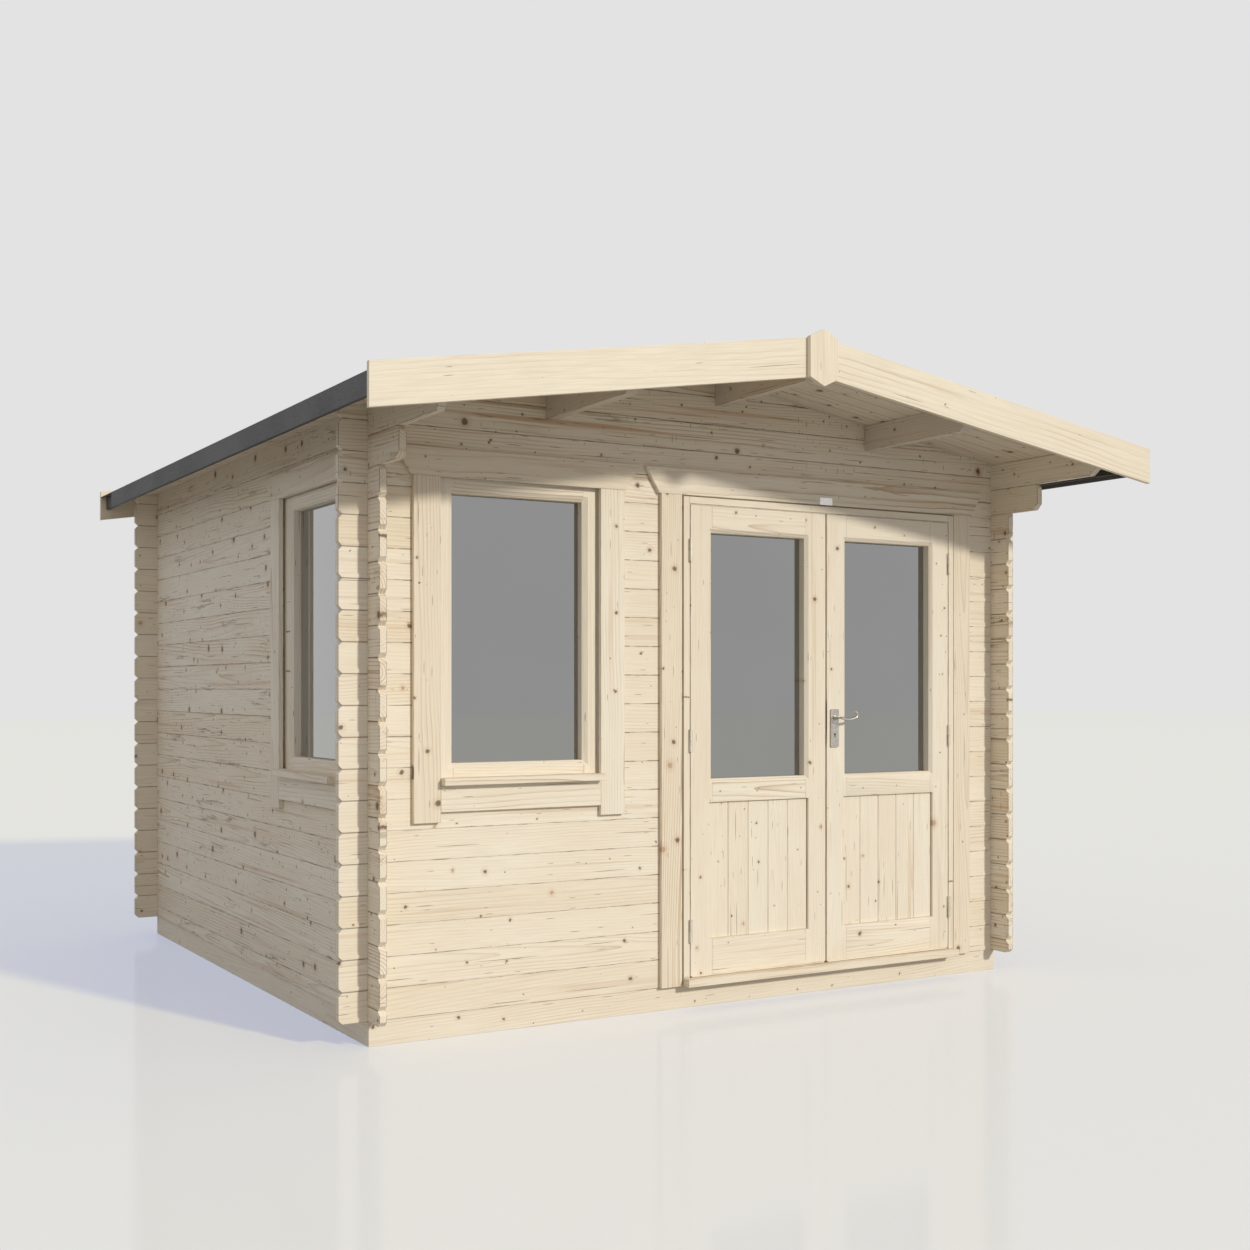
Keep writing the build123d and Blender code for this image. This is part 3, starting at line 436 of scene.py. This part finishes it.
def wood(
    name, pale, warm, pitch, rings, knots, splits, streaks, joints,
    scars=0.0, knot_size=1.0, joint_floor=0.1, end_joints=0.0, stain=1.0,
):
    """Planed spruce along each board's own grain, with the share that each kind of mark has."""
    material, tree, shader = new_material(name)
    grain = add(tree, "Attribute", attribute_name="grain").outputs["Vector"]
    half = add(tree, "Attribute", attribute_name="half").outputs["Vector"]
    board = add(tree, "Attribute", attribute_name="board").outputs["Fac"]
    figure = add(tree, "Attribute", attribute_name="figure").outputs["Fac"]
    shift = add(tree, "VectorMath", {0: board_shift, "Scale": board}, operation="SCALE").outputs[0]
    place = vector(tree, "ADD", grain, shift)

    def stained(colour):
        return tuple(stain * value for value in colour)

    # Slow noise bends the grain
    wander = swing(tree, place, wander_scales)
    waves = swing(tree, place, wave_scales)
    bend = calc(tree, "MULTIPLY_ADD", wander, wander_bend, calc(tree, "MULTIPLY", waves, wave_bend))
    bent_place = vector(tree, "ADD", place, add(tree, "CombineXYZ", {1: bend}).outputs[0])

    # Rings on a clouded tone
    ring = ring_lines(tree, grain, board, figure, pitch, wander, waves)
    patches = fade(tree, noise(tree, bent_place, patch_scales), *patch_fade)
    ring_depth = calc(tree, "MULTIPLY", ring, patches)
    ring_depth = calc(tree, "MULTIPLY", ring_depth, own_number(tree, board, strength_draw))
    ring_mix = calc(tree, "MULTIPLY", ring_depth, calc(tree, "MULTIPLY", figure, rings), clamp=True)
    cloud = noise(tree, place, cloud_scales, fine_detail)
    tone = calc(tree, "MULTIPLY_ADD", board, board_tone, calc(tree, "MULTIPLY", cloud, cloud_tone))
    colour = mix(tree, fade(tree, tone, *tone_fade), stained(pale), stained(warm))
    colour = mix(tree, ring_mix, colour, stained(ring_colour))

    # Marks over them, each a mask, its strength and its colour
    bands = noise(tree, bent_place, streak_scales)
    fibres = noise(tree, bent_place, fibre_scales, fine_detail, fibre_rough)
    split = split_lines(tree, bent_place, splits)
    joint = joint_grime_and_shade_lines(tree, place, grain, half, joint_floor, end_joints)
    marks = [
        (fade(tree, bands, *streak_fade), streaks, streak_colour),
        (fade(tree, fibres, *fibre_fade), fibre_share, fibre_colour),
        *knot_marks(tree, bent_place, knots, knot_size),
        (split, crack_share, crack_colour),
    ]
    if scars:
        marks += scar_marks(tree, place, bent_place, scars)
    # Joint lines: partly grime, partly painted shade in the grooves
    marks.append((joint, joints, joint_grime_and_shade_colour))
    for mask, strength, mark_colour in marks:
        colour = mix(tree, calc(tree, "MULTIPLY", mask, strength), colour, stained(mark_colour))
    tree.links.new(colour, shader.inputs["Base Color"])

    tree.links.new(fade(tree, fibres, *noise_span, *wood_roughness), shader.inputs["Roughness"])
    shader.inputs["Specular IOR Level"].default_value = wood_gloss
    relief = calc(tree, "MULTIPLY_ADD", fibres, fibre_relief, calc(tree, "MULTIPLY", ring, ring_relief))
    roughen(tree, shader, wood_relief, calc(tree, "SUBTRACT", relief, split))
    return material


# Other materials

def felt(name):
    """Mineral roofing felt: dark grey with paler grit."""
    material, tree, shader = new_material(name)
    place = add(tree, "TexCoord").outputs["Object"]
    grit = add(tree, "TexVoronoi", {"Vector": place, "Scale": grit_scale})
    flecks = add(tree, "SeparateColor", {"Color": grit.outputs["Color"]}).outputs[0]
    cloud = noise(tree, place, felt_cloud_scales, felt_cloud_detail)
    colour = mix(tree, fade(tree, cloud, *noise_span), felt_dark, felt_pale)
    colour = mix(tree, fade(tree, flecks, *grit_fade), colour, grit_colour)
    tree.links.new(colour, shader.inputs["Base Color"])
    tree.links.new(fade(tree, flecks, 0.0, 1.0, *felt_roughness), shader.inputs["Roughness"])
    shader.inputs["Specular IOR Level"].default_value = felt_gloss
    roughen(tree, shader, felt_relief, flecks)
    return material


def metal(name, dark, light, rough):
    """Satin metal with fine marks."""
    material, tree, shader = new_material(name)
    place = add(tree, "TexCoord").outputs["Object"]
    marks = noise(tree, place, metal_mark_scales, fine_detail)
    stain = noise(tree, place, metal_stain_scales, fine_detail)
    colour = mix(tree, fade(tree, stain, *noise_span), dark, light)
    smoothest, roughest = (rough + spread for spread in metal_spread)
    tree.links.new(colour, shader.inputs["Base Color"])
    tree.links.new(fade(tree, marks, *noise_span, smoothest, roughest), shader.inputs["Roughness"])
    shader.inputs["Metallic"].default_value = 1.0
    roughen(tree, shader, metal_relief, marks)
    return material


def glazing(name):
    """Grey glass that mirrors its surroundings."""
    material, tree, shader = new_material(name)
    place = add(tree, "TexCoord").outputs["Object"]
    waves = noise(tree, place, glass_wave_scales, glass_wave_detail)
    tree.links.new(mix(tree, waves, glass_dark, glass_pale), shader.inputs["Base Color"])
    shader.inputs["Metallic"].default_value = 1.0
    shader.inputs["Roughness"].default_value = glass_roughness
    shader.inputs["Coat Weight"].default_value = 1.0
    shader.inputs["Coat Roughness"].default_value = glass_roughness
    roughen(tree, shader, glass_relief, waves)
    return material


log_pale, log_warm = (0.874, 0.806, 0.672), (0.825, 0.733, 0.578)
# Purlin tone: the log tone darkened, painted shade for the dim space under the roof
purlin_shaded_pale, purlin_shaded_warm = (0.700, 0.640, 0.560), (0.660, 0.585, 0.480)
trim_pale, trim_warm = (0.865, 0.800, 0.670), (0.815, 0.725, 0.575)
barge_pale, barge_warm = (0.852, 0.780, 0.632), (0.812, 0.722, 0.558)
joinery_pale, joinery_warm = (0.865, 0.798, 0.665), (0.838, 0.758, 0.615)
board_pale, board_warm = (0.850, 0.785, 0.670), (0.790, 0.705, 0.575)
base_pale, base_warm = (0.855, 0.785, 0.655), (0.805, 0.710, 0.560)
stain_pale, stain_warm = (0.85, 0.75, 0.65), (0.78, 0.68, 0.58)
zinc_dark, zinc_light = (0.60, 0.56, 0.48), (0.68, 0.64, 0.56)
nickel_dark, nickel_light = (0.45, 0.42, 0.38), (0.53, 0.50, 0.455)
# Near-black metal that stands for the shade in the keyholes
keyhole_shade_dark, keyhole_shade_light = (0.025, 0.023, 0.02), (0.04, 0.037, 0.033)
plate_dark, plate_light = (0.82, 0.82, 0.81), (0.90, 0.90, 0.89)
materials = {
    "log_wood": wood(
        "log_wood_spruce", log_pale, log_warm, fine_pitch,
        rings=0.16, knots=0.45, splits=0.20, streaks=0.30, joints=0.70, end_joints=0.9,
    ),
    "scarred_log": wood(
        "scarred_log_spruce", log_pale, log_warm, fine_pitch,
        rings=0.34, knots=0.70, splits=0.40, streaks=0.50, joints=0.80,
        scars=0.60, knot_size=1.7, joint_floor=0.25, end_joints=0.9,
    ),
    "gable_log": wood(
        "gable_log_spruce", log_pale, log_warm, fine_pitch,
        rings=0.46, knots=0.75, splits=0.50, streaks=0.75, joints=0.95,
        scars=0.55, knot_size=1.5, joint_floor=0.45,
    ),
    "purlin_shaded_wood": wood(
        "purlin_painted_shade_spruce", purlin_shaded_pale, purlin_shaded_warm, fine_pitch,
        rings=0.34, knots=0.70, splits=0.40, streaks=0.50, joints=0.80,
        knot_size=1.5, joint_floor=0.25,
    ),
    "trim_wood": wood(
        "trim_wood_spruce", trim_pale, trim_warm, broad_pitch,
        rings=0.55, knots=0.38, splits=0.22, streaks=0.32, joints=0.30, knot_size=1.25,
    ),
    "barge_wood": wood(
        "barge_wood_spruce", barge_pale, barge_warm, broad_pitch,
        rings=0.18, knots=0.14, splits=0.06, streaks=0.24, joints=0.12,
    ),
    "joinery_wood": wood(
        "joinery_wood_spruce", joinery_pale, joinery_warm, fine_pitch,
        rings=0.34, knots=0.55, splits=0.18, streaks=0.30, joints=0.30,
    ),
    "board_wood": wood(
        "board_wood_spruce", board_pale, board_warm, fine_pitch,
        rings=0.45, knots=0.75, splits=0.20, streaks=0.45, joints=0.90,
        knot_size=1.7, joint_floor=0.7,
    ),
    "base_timber": wood(
        "base_timber_spruce", base_pale, base_warm, fine_pitch,
        rings=0.18, knots=0.40, splits=0.18, streaks=0.28, joints=0.10,
    ),
    "fascia_timber": wood(
        "fascia_timber_dark", stain_pale, stain_warm, fine_pitch,
        rings=0.20, knots=0.20, splits=0.10, streaks=0.30, joints=0.20, stain=fascia_stain,
    ),
    "roofing_felt": felt("roofing_felt_mineral"),
    "glass": glazing("glass_grey"),
    "hinge_metal": metal("hinge_zinc", zinc_dark, zinc_light, rough=0.52),
    "handle_metal": metal("handle_satin_nickel", nickel_dark, nickel_light, rough=0.28),
    # Painted shade for the keyholes
    "keyhole_shade": metal("keyhole_shade_black", keyhole_shade_dark, keyhole_shade_light, rough=0.55),
    "bright_plate": metal("plate_satin_aluminium", plate_dark, plate_light, rough=0.45),
}

# A node's finish is its slot's, apart from these
finish_of = dict(slot_of)
for node, slot in slot_of.items():
    if slot == "log_wood" and node.startswith(("left_", "right_")):
        finish_of[node] = "scarred_log"
finish_of["front_wall_over_openings"] = "gable_log"
# The purlins take the darker tone: painted shade under the roof
finish_of["roof_purlins"] = "purlin_shaded_wood"
for node in ("front_barge_boards", "back_barge_boards", "finials"):
    finish_of[node] = "barge_wood"


# Mesh building

def solid(node):
    """Copy of a piece's mesh, joined at its corners, with each flat side as one face."""
    mesh = bmesh.new()
    mesh.from_mesh(nodes[node].data)
    bmesh.ops.remove_doubles(mesh, verts=mesh.verts, dist=weld_distance)
    bmesh.ops.dissolve_limit(mesh, angle_limit=flat_angle, verts=mesh.verts, edges=mesh.edges)
    return mesh


def loose_parts(mesh):
    """Vertices of each separate solid."""
    mesh.verts.index_update()
    left = set(mesh.verts)
    parts = []
    for seed in mesh.verts:
        if seed not in left:
            continue
        left.remove(seed)
        part = [seed]
        for vertex in part:
            for edge in vertex.link_edges:
                other = edge.other_vert(vertex)
                if other in left:
                    left.remove(other)
                    part.append(other)
        parts.append(part)
    return parts


def cut(mesh, place, normal):
    """Saws the mesh along a plane and closes both sides."""
    everything = mesh.verts[:] + mesh.edges[:] + mesh.faces[:]
    found = bmesh.ops.bisect_plane(mesh, geom=everything, plane_co=place, plane_no=normal)["geom_cut"]
    sawn = [item for item in found if isinstance(item, bmesh.types.BMEdge)]
    bmesh.ops.split_edges(mesh, edges=sawn)
    open_edges = [edge for edge in mesh.edges if edge.is_boundary]
    bmesh.ops.holes_fill(mesh, edges=open_edges, sides=0)


def round_edges(mesh, width):
    """Breaks the sharp edges of each solid, less where its edges are short."""
    bmesh.ops.recalc_face_normals(mesh, faces=mesh.faces)
    for part in loose_parts(mesh):
        edges = {edge for vertex in part for edge in vertex.link_edges}
        sharp = [edge for edge in edges if edge.is_manifold and edge.calc_face_angle(0.0) > sharp_angle]
        if not sharp:
            continue
        sharp.sort(key=lambda edge: tuple(edge.verts[0].co) + tuple(edge.verts[1].co))
        shortest = min(edge.calc_length() for edge in sharp)
        bmesh.ops.bevel(
            mesh,
            geom=sharp,
            offset=min(width, round_share * shortest),
            offset_type="OFFSET",
            segments=round_segments,
            profile=round_profile,
            affect="EDGES",
            clamp_overlap=True,
        )


def middle_of(part):
    """Mean place of a solid's vertices."""
    return sum((vertex.co for vertex in part), Vector()) / len(part)


def mark_grain(mesh, name, sloped):
    """Gives each solid its own grain: places along, across and through it, half sizes and a number."""
    grain = mesh.verts.layers.float_vector.new("grain")
    half = mesh.verts.layers.float_vector.new("half")
    board = mesh.verts.layers.float.new("board")
    figure = mesh.verts.layers.float.new("figure")
    draw = random.Random(name)
    lean = roof_pitch if sloped else 0.0
    for part in sorted(loose_parts(mesh), key=lambda part: tuple(middle_of(part))):
        side = 1 if middle_of(part).x > 0 else -1
        along_slope = Vector((cos(lean), 0, -side * sin(lean)))
        off_slope = Vector((side * sin(lean), 0, cos(lean)))
        spans = []
        for axis in (along_slope, back, off_slope):
            reach = [vertex.co.dot(axis) for vertex in part]
            spans.append((max(reach) - min(reach), (max(reach) + min(reach)) / 2, axis))
        spans.sort(key=lambda span: -span[0])
        number = draw.random()
        longest = spans[0][2]
        upright = abs(longest.z) > abs(longest.x) + abs(longest.y)
        for vertex in part:
            vertex[grain] = Vector([vertex.co.dot(axis) - centre for _, centre, axis in spans])
            vertex[half] = Vector([span / 2 for span, _, _ in spans])
            vertex[board] = number
            vertex[figure] = 1.0 if upright else level_figure


def show(mesh, name, material, body):
    """New object from a mesh, on its body, with its material."""
    data = bpy.data.meshes.new(name)
    mesh.to_mesh(data)
    mesh.free()
    data.materials.append(material)
    piece = bpy.data.objects.new(name, data)
    bpy.context.scene.collection.objects.link(piece)
    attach(piece, body)
    return piece


def dress(node, rounding, cuts=(), sloped=False):
    """Timber that stands for a node: sawn into its boards, with broken edges and its own grain."""
    mesh = solid(node)
    for place, normal in cuts:
        cut(mesh, place, normal)
    round_edges(mesh, rounding)
    mark_grain(mesh, node, sloped)
    piece = show(mesh, node + "_timber", materials[finish_of[node]], body_of[node])
    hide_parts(node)


def unit(axis):
    """Vector of length one along an axis."""
    return Vector([float(i == axis) for i in range(3)])


def board_cuts(node, axis, pitch):
    """Saw planes that divide a node into boards of one width along an axis."""
    low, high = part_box(node)
    count = round((high[axis] - low[axis]) / pitch)
    step = (high[axis] - low[axis]) / count
    return [(unit(axis) * (low[axis] + n * step), unit(axis)) for n in range(1, count)]


def frame_cuts(glass, axis):
    """Saw planes between the stiles and the rails round a pane."""
    return [(unit(axis) * corner[axis], unit(axis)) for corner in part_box(glass)]


def prism(mesh, outline, along):
    """Adds a closed bar: an outline drawn out along a vector."""
    first = [mesh.verts.new(corner) for corner in outline]
    second = [mesh.verts.new(corner + along) for corner in outline]
    mesh.faces.new(first)
    mesh.faces.new(second)
    for i in range(len(outline)):
        mesh.faces.new((first[i - 1], first[i], second[i], second[i - 1]))


def arc(middle, radius, across, above, start, end, steps):
    """Points along part of a circle, turned from across towards above."""
    turns = [start + (end - start) * n / steps for n in range(steps + 1)]
    return [middle + radius * (cos(turn) * across + sin(turn) * above) for turn in turns]


def disc(mesh, middle, radius, across, above, height, sides):
    """Adds a flat round head that stands out from the plane of across and above."""
    prism(mesh, arc(middle, radius, across, above, 0, 2 * pi, sides)[:-1], height * across.cross(above))


def add_piece(mesh, name, body, finish):
    """New object from bars, with its normals and grain."""
    bmesh.ops.recalc_face_normals(mesh, faces=mesh.faces)
    mark_grain(mesh, name, False)
    show(mesh, name, materials[finish], body)


# Logs, boards and joinery
for node, slot in slot_of.items():
    if slot == "log_wood":
        dress(node, log_round)
for node in ("base_frame", "floor_joists", "door_trim", "door_sill", "finials", "eave_fascias"):
    dress(node, board_round)
for window in ("front_window", "side_window"):
    for part in ("trim", "sill"):
        dress(f"{window}_{part}", board_round)
    dress(f"{window}_frame", joinery_round)
dress("floor_boards", board_round, board_cuts("floor_boards", y_axis, floor_board_pitch))
for side in ("left", "right"):
    roof_cuts = board_cuts(f"{side}_roof_boards", y_axis, roof_board_pitch)
    dress(f"{side}_roof_boards", board_round, roof_cuts, sloped=True)
for end in ("front", "back"):
    dress(f"{end}_barge_boards", board_round, sloped=True)
dress("front_window_sash", joinery_round, frame_cuts("front_window_glass", x_axis))
dress("side_window_sash", joinery_round, frame_cuts("side_window_glass", y_axis))
for node in ("door_frame", "door_stops"):
    dress(node, joinery_round)
for side in ("left", "right"):
    dress(f"{side}_door_leaf", joinery_round, frame_cuts(f"{side}_door_glass", x_axis))
    dress(f"{side}_door_panel", joinery_round)

# Beads in the frame beside and over the leaves
left_low, left_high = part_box("left_door_leaf")
right_low, right_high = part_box("right_door_leaf")
leaf_face = left_low[1]
sill_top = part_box("door_sill")[1][2]
stop_low, stop_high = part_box("door_stops")
bead_front = leaf_face + bead_setback
bead_back = bead_front + bead_depth
beads = bmesh.new()
for edge, toward in ((stop_low[0], 1), (stop_high[0], -1)):
    inner = edge + toward * bead_width
    corners = ((edge, bead_front), (inner, bead_front), (inner, bead_back), (edge, bead_back))
    prism(beads, [Vector((x, y, sill_top)) for x, y in corners], up * (stop_high[2] - sill_top))
start = stop_low[0] + bead_width
top = stop_high[2]
under = top - bead_width
corners = ((bead_front, top), (bead_front, under), (bead_back, under), (bead_back, top))
head_length = stop_high[0] - stop_low[0] - 2 * bead_width
prism(beads, [Vector((start, y, z)) for y, z in corners], right * head_length)
add_piece(beads, "door_frame_beads", "cabin", "joinery_wood")

# Sweeps under the leaves
sweep_front = leaf_face + sweep_setback
for side, low, high in (("left", left_low, left_high), ("right", right_low, right_high)):
    sweep = bmesh.new()
    start = low[0] + sweep_end_gap
    top = low[2]
    bottom = top - sweep_height
    lip = bottom + sweep_slant
    corners = ((bead_back, top), (sweep_front, top), (sweep_front, lip), (bead_back, bottom))
    sweep_length = high[0] - low[0] - 2 * sweep_end_gap
    prism(sweep, [Vector((start, y, z)) for y, z in corners], right * sweep_length)
    add_piece(sweep, f"{side}_door_sweep", f"{side}_door", "joinery_wood")

# Slotted screws at both ends of the handle plates: a round floor, and two half heads on it
screws = bmesh.new()
plates_low, plates_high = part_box("right_door_handle_plates")
screw_x = (plates_low[0] + plates_high[0]) / 2
for face, facing in ((plates_low[1], 1), (plates_high[1], -1)):
    across = facing * right
    for height in (plates_low[2] + screw_inset, plates_high[2] - screw_inset):
        middle = Vector((screw_x, face, height))
        disc(screws, middle, screw_radius, across, up, screw_floor, 2 * arc_steps)
        for start in (0, pi):
            aside = screw_slot / 2 * (cos(start) * up)
            head = arc(middle + aside, screw_radius - screw_slot, across, up, start, start + pi, arc_steps)
            prism(screws, head, screw_height * across.cross(up))
add_piece(screws, "handle_plate_screws", "right_door", "handle_metal")

# Painted shade in the keyholes of both faces: near-black metal just behind the plate
keyhole_shades = bmesh.new()
spindle = pivots["lever_turn"]
half_slot = keyhole_shade_slot_width / 2
slot_foot = -keyhole_shade_slot_height
slot_corners = ((half_slot, 0), (-half_slot, 0), (-half_slot, slot_foot), (half_slot, slot_foot))
for face, facing in ((right_low[1], 1), (right_high[1], -1)):
    across = facing * right
    out = across.cross(up)
    middle = Vector((spindle.x, face, spindle.z - keyhole_drop)) + keyhole_shade_gap * out
    disc(keyhole_shades, middle, keyhole_shade_radius, across, up, keyhole_shade_depth, 2 * arc_steps)
    prism(keyhole_shades, [middle + x * across + z * up for x, z in slot_corners], keyhole_shade_slot_depth * out)
add_piece(keyhole_shades, "keyhole_lock_case", "right_door", "keyhole_shade")

# Blank plate with two pins
plate = bmesh.new()
board_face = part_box("door_trim")[0][1] - plate_gap
middle = Vector((plate_middle[0], board_face, plate_middle[1]))
outline = []
for turn, (side, level) in enumerate(((1, 1), (-1, 1), (-1, -1), (1, -1))):
    corner = middle + side * (plate_size[0] / 2 - plate_corner) * right
    corner += level * (plate_size[1] / 2 - plate_corner) * up
    outline += arc(corner, plate_corner, right, up, turn * pi / 2, (turn + 1) * pi / 2, arc_steps // 2)
prism(plate, outline, plate_thickness * front)
for side in (-1, 1):
    pin = middle + side * (plate_size[0] / 2 - pin_inset) * right + plate_thickness * front
    disc(plate, pin, pin_radius, right, up, pin_height, arc_steps)
add_piece(plate, "blank_door_plate", "cabin", "bright_plate")

# Upper sheets of felt, the strip over the ridge, and the nails along their edges
roof_low, roof_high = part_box("roof_covering")
run = (roof_high[1] - roof_low[1]) * back
ridge = Vector((0, roof_low[1], roof_high[2]))
slope_length = roof_high[0] / cos(roof_pitch)
nail_count = round(run.y / nail_spacing)
laps = bmesh.new()
nails = bmesh.new()
for side in (-1, 1):
    down = Vector((side * cos(roof_pitch), 0, -sin(roof_pitch)))
    out = Vector((side * sin(roof_pitch), 0, cos(roof_pitch)))
    for layer, reach in enumerate((slope_length - felt_roll, ridge_strip)):
        under = layer * felt_sheet * out
        over = under + felt_sheet * out
        outline = [ridge + under, ridge + reach * down + under, ridge + reach * down + over, ridge + over]
        prism(laps, outline, run)
        for n in range(nail_count):
            place = ridge + (reach - nail_inset) * down + over + (n + 0.5) / nail_count * run
            disc(nails, place, nail_radius, side * down, back, nail_height, nail_sides)
add_piece(laps, "roof_felt_laps", "cabin", "roofing_felt")
add_piece(nails, "roof_felt_nails", "cabin", "hinge_metal")

# Pieces that keep their shape
for node, slot in slot_of.items():
    if slot in ("glass", "hinge_metal", "handle_metal", "roofing_felt"):
        nodes[node].material_slots[0].material = materials[slot]


# Camera
camera = bpy.data.objects.new("camera", bpy.data.cameras.new("camera"))
bpy.context.scene.collection.objects.link(camera)
camera.location = camera_place
camera.rotation_euler = (pi / 2, 0, -camera_turn)
camera.data.sensor_width = sensor_width
camera.data.lens = sensor_width * focal_pixels / image_size
camera.data.shift_y = (horizon_row - image_size / 2) / image_size
bpy.context.scene.camera = camera

# Sun
sun = bpy.data.objects.new("sun", bpy.data.lights.new("sun", "SUN"))
bpy.context.scene.collection.objects.link(sun)
sun.rotation_euler = sun_from.to_track_quat("Z", "Y").to_euler()
sun.data.energy = sun_strength
sun.data.color = sun_colour
sun.data.angle = sun_width

# Sky, with the pale backdrop where it is seen
world = bpy.data.worlds.new("studio")
bpy.context.scene.world = world
world.use_nodes = True
tree = world.node_tree
light = tree.nodes["Background"]
light.inputs["Color"].default_value = opaque(sky_colour)
light.inputs["Strength"].default_value = sky_strength
backdrop = add(tree, "Background", {"Color": opaque(backdrop_colour), "Strength": 1.0})
choice = add(tree, "MixShader", {0: seen_rays(tree), 1: light.outputs[0], 2: backdrop.outputs[0]})
tree.links.new(choice.outputs[0], tree.nodes["World Output"].inputs["Surface"])

# Floor: pale, softly glossy, and lifted to the backdrop's tone where it is seen
floor_mesh = bpy.data.meshes.new("floor")
corners = [(-floor_reach, -floor_reach, 0), (floor_reach, -floor_reach, 0)]
corners += [(floor_reach, floor_reach, 0), (-floor_reach, floor_reach, 0)]
floor_mesh.from_pydata(corners, [], [(0, 1, 2, 3)])
floor = bpy.data.objects.new("floor", floor_mesh)
bpy.context.scene.collection.objects.link(floor)
floor_material, tree, shader = new_material("studio_floor")
tree.nodes.remove(shader)
seen = seen_rays(tree)
matt = add(tree, "BsdfDiffuse", {"Color": mix(tree, seen, floor_bounce, floor_colour)})
lift = add(tree, "Emission", {"Color": opaque(floor_lift), "Strength": seen})
pale = add(tree, "AddShader", {0: matt.outputs[0], 1: lift.outputs[0]})
sheen = add(tree, "BsdfGlossy", {"Color": opaque(floor_sheen), "Roughness": floor_roughness})
surface = add(tree, "MixShader", {0: floor_gloss, 1: pale.outputs[0], 2: sheen.outputs[0]})
tree.links.new(surface.outputs[0], tree.nodes["Material Output"].inputs["Surface"])
floor_mesh.materials.append(floor_material)

bpy.context.scene.view_settings.view_transform = "Standard"
